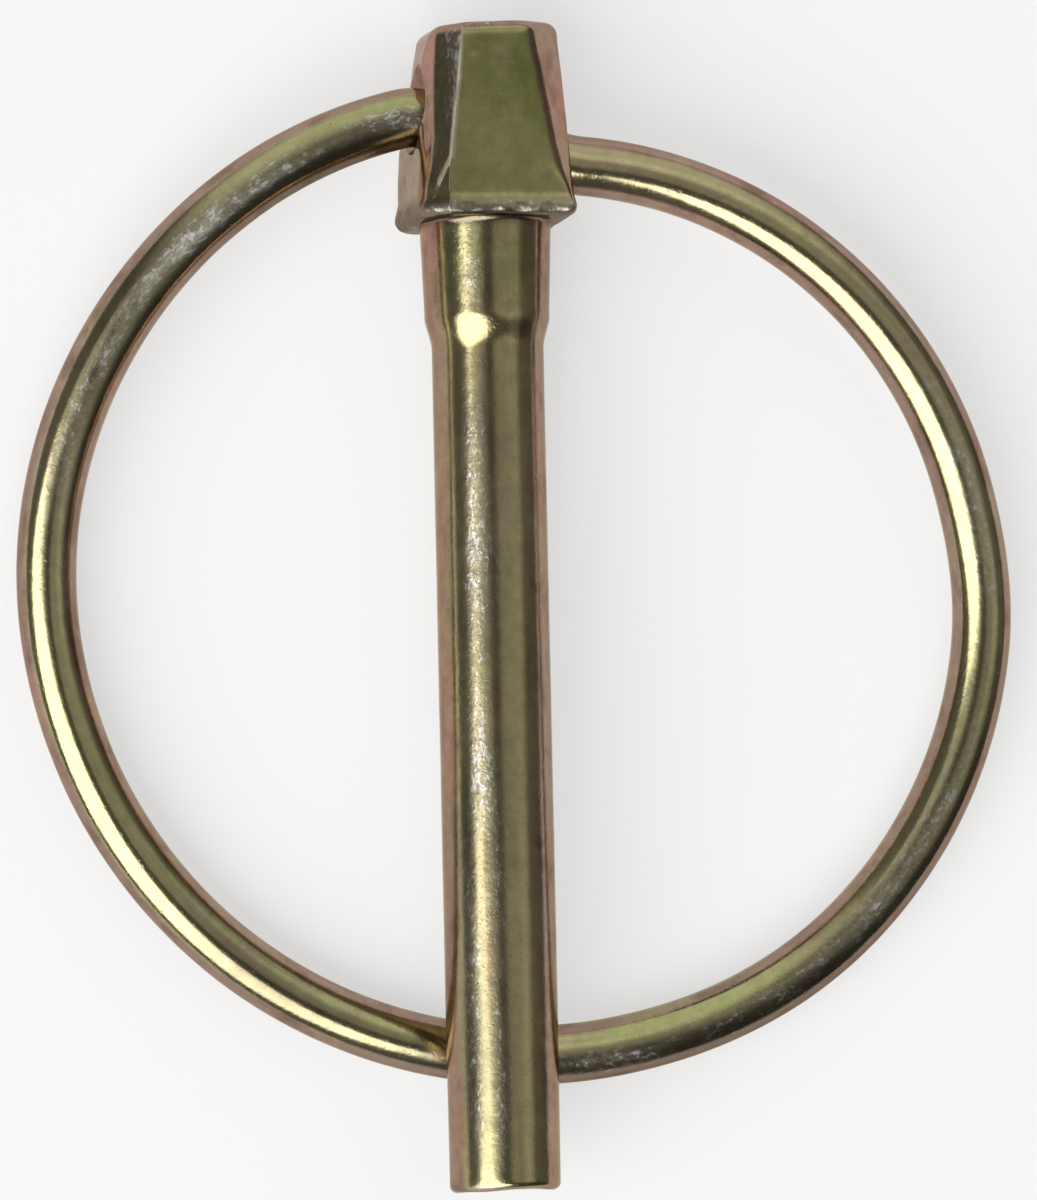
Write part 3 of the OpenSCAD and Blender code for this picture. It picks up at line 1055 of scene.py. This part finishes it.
# the same flank mask on the wire: partly the film's colour, partly a painted sheen and a painted reflection of the
# paper seen edge-on from the camera
remember(ring_piece, "flank", flank)
remember(ring_piece, "bare", np.zeros(len(straight)))
# on the far stretch the rub wanders to the outer side
rub_middle = 0.02 + 0.38 * bump(wire_at, 63.0, 12.0)
rub = ring_faces_up * stretches(wire_at, WIRE_RUBS) * bump(outside, rub_middle, 0.6)
remember(ring_piece, "rub", rub)
print("the rubbed share of the ring is", round(float(rub.mean()), 3))

# %% The ring's dull places and painted shade, and its pink and green places
# stretches of wire, as for the rubs, on its inner and on its outer side; they are partly dull film and partly
# painted shade
INNER_DULL_AND_SHADE = [(3.0, 12.0, 0.8), (84.0, 8.0, 0.35), (47.0, 6.0, 0.45)]
OUTER_DULL_AND_SHADE = [(66.0, 18.0, 1.0), (56.0, 4.0, 0.8), (47.0, 6.0, 0.45)]
# a painted dark band between the outer rim and the rubbed silver
OUTER_SHADE = [(15.0, 6.0, 0.75)]
INNER_RIM_SHADE = [(3.0, 18.0, 1.0)]
OUTER_RIM_SHADE = [(68.0, 20.0, 0.7)]
RING_BLUSH = [(33.0, 7.0, 0.35), (108.0, 9.0, 0.3)]

dull_and_shade = stretches(wire_at, INNER_DULL_AND_SHADE) * (1 - smooth(outside, 0.1, 0.5))
dull_and_shade += stretches(wire_at, OUTER_DULL_AND_SHADE) * smooth(outside, -0.18, 0.25)
dull_and_shade += stretches(wire_at, OUTER_SHADE) * smooth(outside, 0.15, 0.25)
dull_and_shade *= ring_faces_up
# painted shade on the inner and outer rims: the shadowed paper that the wire reflects
dull_and_shade += stretches(wire_at, INNER_RIM_SHADE) * smooth(-outside, 0.5, 0.2)
dull_and_shade += stretches(wire_at, OUTER_RIM_SHADE) * smooth(outside, 0.5, 0.2)
remember(ring_piece, "dull_and_shade", np.clip(dull_and_shade, 0, 1))
remember(ring_piece, "blush", stretches(wire_at, RING_BLUSH))
green = bump(wire_at, 4.0, 9.0) * smooth(outside, 0.1, 0.4)
green += 0.8 * bump(wire_at, 52.0, 7.0) * smooth(-outside, -0.2, 0.4)
green += bump(wire_at, 65.0, 10.0) * smooth(-outside, 0.06, 0.3)
green += 0.4 * bump(wire_at, 84.0, 9.0) + 0.3 * bump(wire_at, 36.0, 12.0)
remember(ring_piece, "green", np.clip(green, 0, 1))
print("the dull share of the ring is", round(float(recall(ring_piece, "dull_and_shade").mean()), 3))

# %% [markdown]
# ## Yellow passivated zinc
# The film's colour comes from its thickness, as on a soap bubble, and drifts from
# place to place. One metal colour would miss that, so several noises are laid
# over each other, most of them drawn out along the piece. They are fixed to the
# upright pin and to the straightened wire, so they follow each bend of the ring.

# %% Helpers that read like mixing paint
def kept(tree, what, output="Fac"):
    """What the mesh keeps at each point under one name."""
    found = tree.nodes.get(what) or node(tree, "Attribute", name=what, attribute_name=what)
    return found.outputs[output]


def wave(tree, scale, detail=2.0, rough=0.5, lengthwise=1, twist=0.0):
    """Noise with so many waves to a mm, drawn out where lengthwise is under 1."""
    place = kept(tree, "upright", "Vector")
    moved = node(tree, "Mapping", {"Vector": place, "Scale": (1, lengthwise, 1)})
    return node(tree, "TexNoise", {
        "Vector": moved.outputs[0], "Scale": scale, "Detail": detail,
        "Roughness": rough, "Distortion": twist}).outputs["Fac"]


def mix(share, one, two, blend="MIX"):
    """The first colour, with a share of the second over it."""
    return node(tree_of(share, one, two), "Mix", {0: share, 6: one, 7: two},
                data_type="RGBA", blend_type=blend).outputs[2]


def times(one, two):
    """One value multiplied by another."""
    return reckon("MULTIPLY", one, two)


def plus(one, two):
    """One value added to another."""
    return reckon("ADD", one, two)


# %% The colours of the film
# for the pin and for the ring: olive, gold, green and rose
PIN_FILM = ((0.445, 0.395, 0.205, 1), (0.46, 0.40, 0.21, 1),
            (0.215, 0.235, 0.076, 1), (0.34, 0.215, 0.145, 1))
RING_FILM = ((0.43, 0.39, 0.215, 1), (0.46, 0.405, 0.23, 1),
             (0.45, 0.49, 0.21, 1), (0.33, 0.22, 0.17, 1))
PLUM = (0.35, 0.255, 0.195, 1)
PINK = (0.46, 0.23, 0.205, 1)
STAIN = (0.21, 0.14, 0.095, 1)
DULL_AND_SHADE_BROWN = (0.145, 0.118, 0.09, 1)


def broad_film(tree, olive, gold, green, rose):
    """The film on the broad sides: slow drifts of colour and lengthwise streaks."""
    film = mix(ramp(wave(tree, 0.16), 0.38, 0.62), olive, gold)
    patches = ramp(wave(tree, 0.5, 3.0, 0.6, 0.4), 0.3, 0.6, 0.45, 1.0)
    film = mix(times(kept(tree, "green"), patches), film, green)
    for scale, lengthwise, tint in ((1.1, 0.06, green), (1.3, 0.05, rose)):
        streak = wave(tree, scale, 3.0, 0.6, lengthwise)
        film = mix(ramp(streak, 0.56, 0.68, 0.0, 0.4), film, tint)
    return film


def flank_film_and_sheen(tree, rose):
    """The flanks seen edge-on: rose and plum with pink patches, partly the film's colour and partly a painted
    sheen and a painted reflection of the paper.
    """
    plum = mix(ramp(wave(tree, 0.35, 3.0, 0.6, 0.4), 0.42, 0.60), rose, PLUM)
    patches = ramp(wave(tree, 0.9, 3.0), 0.3, 0.6, 0.5, 1.0)
    return mix(times(kept(tree, "blush"), patches), plum, PINK)


def film_and_painted_shade(tree, olive, gold, green, rose):
    """Both films, with an uneven border, dark stains, and brown stretches that are partly dull film and partly
    painted shade.
    """
    uneven = plus(ramp(wave(tree, 0.7, 3.0), 0.3, 0.7, -0.16, 0.16),
                  ramp(wave(tree, 0.22, 2.0, 0.5, 0.6), 0.3, 0.7, -0.2, 0.2))
    flank = ramp(plus(kept(tree, "flank"), uneven), 0.1, 0.9)
    stain = ramp(wave(tree, 0.75, 3.0, 0.6, 0.7), 0.51, 0.66, 0.0, 0.75)
    film = mix(flank, broad_film(tree, olive, gold, green, rose), flank_film_and_sheen(tree, rose))
    film = mix(times(stain, flank), film, STAIN)
    cloudy = ramp(wave(tree, 1.6, 4.0, 0.6), 0.3, 0.7, 0.88, 1.1)
    film = mix(1.0, film, cloudy, "MULTIPLY")
    # the brown laid over the film here is partly dull film and partly painted shade
    return mix(times(kept(tree, "dull_and_shade"), 0.75), film, DULL_AND_SHADE_BROWN)


print("each film has", len(PIN_FILM), "tints")

# %% [markdown]
# ## Rubs, specks and gloss
# Where the plating is rubbed, fine fibres of silvery zinc show, with dark pits
# between them. A change of colour alone would look printed on, so the same fibres
# and pits also spread the gloss and lift the surface by a few thousandths of a
# millimetre. Specks of dirt lie everywhere.

# %% The worn spots
# how strongly each mark shows
SILVER_SHARE = 0.85
PIT_SHARE = 0.7
SPECK_SHARE = 0.25
GROUND_SHARE = 0.6
DARK_GROUND = (0.17, 0.15, 0.12, 1)
PIT = (0.09, 0.075, 0.06, 1)
SPECK = (0.10, 0.085, 0.055, 1)
BARE_ZINC = (0.58, 0.55, 0.44, 1)


def wear_marks(tree):
    """The fibres, and how much each place is rubbed, silvered, pitted and specked."""
    fibre = wave(tree, 5.5, 3.0, 0.6, 0.5, 0.4)
    uneven = ramp(wave(tree, 0.9, 4.0, 0.6, 0.3), 0.36, 0.58, 0.15, 1.0)
    rubbed = times(uneven, kept(tree, "rub"))
    # a light rub only reaches the highest fibres, and a full one reaches most of them
    reached = plus(fibre, ramp(rubbed, 0.0, 1.0, -0.13, 0.0))
    silver = times(ramp(reached, 0.42, 0.56), ramp(rubbed, 0.0, 0.35))
    pitted = times(ramp(wave(tree, 6.0, 3.0, 0.65, 0.7, 0.2), 0.54, 0.64), rubbed)
    specked = ramp(wave(tree, 7.5, 2.0, 0.6), 0.60, 0.72)
    return fibre, rubbed, silver, pitted, specked


def worn_colour(tree, film, marks, worn_ground, worn_bright):
    """The film, rubbed through to the zinc."""
    fibre, rubbed, silver, pitted, specked = marks
    # the rubbed ground turns darker under the same dull and painted shade mask
    ground = mix(kept(tree, "dull_and_shade"), worn_ground, DARK_GROUND)
    colour = mix(times(rubbed, GROUND_SHARE), film, ground)
    colour = mix(times(specked, SPECK_SHARE), colour, SPECK)
    colour = mix(times(silver, SILVER_SHARE), colour, worn_bright)
    colour = mix(times(pitted, PIT_SHARE), colour, PIT)
    patches = ramp(wave(tree, 2.5, 3.0), 0.3, 0.6, 0.5, 1.0)
    return mix(times(kept(tree, "bare"), patches), colour, BARE_ZINC)


print("a full rub turns up to", SILVER_SHARE, "of the film to silver")

# %% The gloss and the tiny heights
BARE_ROUGHNESS = 0.35
BUMP_DEPTH = 7e-6
# the tint of the plating seen at a grazing angle, and a darker one that paints shade into the grazing reflections
# at the places kept as dull and painted shade
EDGE_TINT = (0.72, 0.65, 0.60, 1)
SHADED_EDGE_TINT = (0.30, 0.26, 0.24, 1)


def worn_roughness(tree, rubbed, roughness, scuff, dullness):
    """How far the gloss spreads: uneven, and broader where the piece is worn."""
    rough = ramp(wave(tree, 0.9, 3.0), 0.3, 0.7, roughness * 0.85, roughness * 1.2)
    rough = plus(rough, times(rubbed, scuff))
    rough = plus(rough, times(kept(tree, "bare"), BARE_ROUGHNESS))
    return plus(rough, times(kept(tree, "dull_and_shade"), dullness))


def worn_height(tree, marks):
    """The height of the surface: fine grain, fibres, pits and specks."""
    fibre, rubbed, silver, pitted, specked = marks
    fine = wave(tree, 8.0, 2.0, 0.55, 0.85)
    height = times(fine, ramp(rubbed, 0.0, 1.0, 0.35, 1.5))
    height = plus(height, times(fibre, ramp(rubbed, 0.0, 1.0, 0.15, 0.6)))
    height = plus(height, times(wave(tree, 2.2, 2.0), 0.8))
    height = plus(height, times(pitted, -0.8))
    return plus(height, times(specked, -0.3))


print("a full step of height is", round(BUMP_DEPTH / MM, 4), "mm")

# %% One plating from all of these
def plating(name, film_tints, worn_ground, worn_bright, roughness, scuff, dullness):
    """The finish of one piece."""
    made = bpy.data.materials.new(name)
    tree = empty_tree(made)
    marks = wear_marks(tree)
    rubbed = marks[1]
    film = film_and_painted_shade(tree, *film_tints)
    # the darker grazing tint paints shade into the reflections at the places kept as dull and painted shade
    edge = mix(times(kept(tree, "dull_and_shade"), 0.6), EDGE_TINT, SHADED_EDGE_TINT)
    bumps = node(tree, "Bump", {
        "Height": worn_height(tree, marks), "Strength": 1.0, "Distance": BUMP_DEPTH})
    surface = node(tree, "BsdfPrincipled", {
        "Base Color": worn_colour(tree, film, marks, worn_ground, worn_bright),
        "Metallic": 1.0,
        "Roughness": worn_roughness(tree, rubbed, roughness, scuff, dullness),
        "Specular Tint": edge,
        "Normal": bumps.outputs[0]})
    node(tree, "OutputMaterial", {"Surface": surface.outputs[0]})
    return made


# %% The two platings
# the forging is rubbed to a warm grey, the hard-drawn wire to a brighter silver
pin_plating = plating(
    "pin_plating", PIN_FILM, worn_ground=(0.44, 0.43, 0.345, 1),
    worn_bright=(0.60, 0.60, 0.56, 1), roughness=0.15, scuff=0.15, dullness=0.05)
ring_plating = plating(
    "ring_plating", RING_FILM, worn_ground=(0.62, 0.61, 0.55, 1),
    worn_bright=(0.88, 0.88, 0.85, 1), roughness=0.14, scuff=0.36, dullness=0.03)
for piece, cad_node, finish in ((pin_piece, "pin", pin_plating),
                                (ring_piece, "ring", ring_plating)):
    for mesh in (piece.data, frame["nodes"][cad_node].data):
        mesh.materials.clear()
        mesh.materials.append(finish)
print("the pin's plating has", len(pin_plating.node_tree.nodes), "nodes")

# %% [markdown]
# ## Joining the pieces to the mechanism
# Each finer mesh rides on the body that it stands for, so the ring still turns on
# its hinge, and the two plain solids are hidden behind them.

# %% Ride, replace and finish
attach(pin_piece, "pin")
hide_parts("pin")
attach(ring_piece, "ring")
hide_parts("ring")
